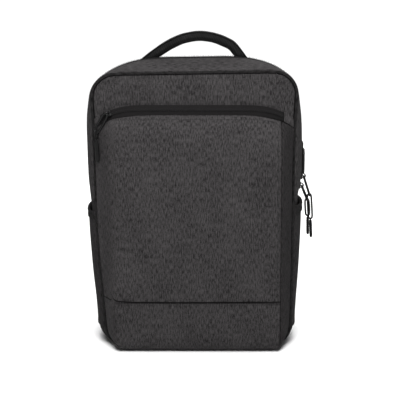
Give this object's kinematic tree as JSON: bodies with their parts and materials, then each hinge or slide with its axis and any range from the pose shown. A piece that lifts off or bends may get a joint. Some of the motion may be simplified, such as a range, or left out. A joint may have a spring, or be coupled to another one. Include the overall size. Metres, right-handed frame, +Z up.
{
  "type": "laptop backpack",
  "caption": "Upright soft laptop backpack in charcoal melange cloth with a boxed front pocket, side pockets, black zips, padded carry handle and shoulder straps.",
  "frame": {"origin": "on the flat underside of the base, midway across the bag, a little behind the middle of its depth", "axes": "+Z up the bag, +Y towards the back panel and shoulder straps, -Y towards the front pocket, +X towards the side with the charging socket"},
  "size_m": [0.3492, 0.1964, 0.4724],
  "materials": {
    "cloth": "matt charcoal melange weave with a fine upright grain",
    "dark_cloth": "the same melange, darker on the gussets, piping and bindings",
    "mesh_padding": "matt black spacer mesh over padding",
    "zip_tape": "black woven tape, webbing and cord",
    "black_metal": "satin black painted zip slider and wire link",
    "black_plastic": "matt black moulded plastic and rubber"
  },
  "bodies": {
    "root": {"front_panel": "cloth", "zip_gusset_front": "cloth", "zip_gusset_rear": "cloth", "base_gusset": "cloth", "side_gusset_left": "cloth", "side_gusset_right": "cloth", "pocket_panel": "cloth", "lower_panel": "cloth", "zip_garage_left": "cloth", "zip_garage_right": "cloth", "side_pocket_left": "cloth", "side_pocket_right": "cloth", "front_piping": "dark_cloth", "back_piping": "dark_cloth", "pocket_gusset_right": "dark_cloth", "side_pocket_hem_left": "dark_cloth", "side_pocket_hem_right": "dark_cloth", "socket_flap": "dark_cloth", "back_panel": "mesh_padding", "carry_handle": "mesh_padding", "shoulder_strap_left": "mesh_padding", "shoulder_strap_right": "mesh_padding", "main_zip": "zip_tape", "pocket_zip": "zip_tape", "handle_piping": "zip_tape", "strap_webbing_left": "zip_tape", "strap_webbing_right": "zip_tape", "webbing_tab_left": "zip_tape", "webbing_tab_right": "zip_tape", "pocket_pull_cord": "zip_tape", "main_pull_lower_cord": "zip_tape", "main_pull_upper_cord": "zip_tape", "pocket_pull_slider": "black_metal", "pocket_pull_link": "black_metal", "main_pull_lower_slider": "black_metal", "main_pull_lower_link": "black_metal", "main_pull_upper_slider": "black_metal", "main_pull_upper_link": "black_metal", "ladder_lock_left": "black_plastic", "ladder_lock_right": "black_plastic", "socket_housing": "black_plastic", "pocket_pull_grip": "black_plastic", "main_pull_lower_grip": "black_plastic", "main_pull_upper_grip": "black_plastic"}
  },
  "joints": []
}
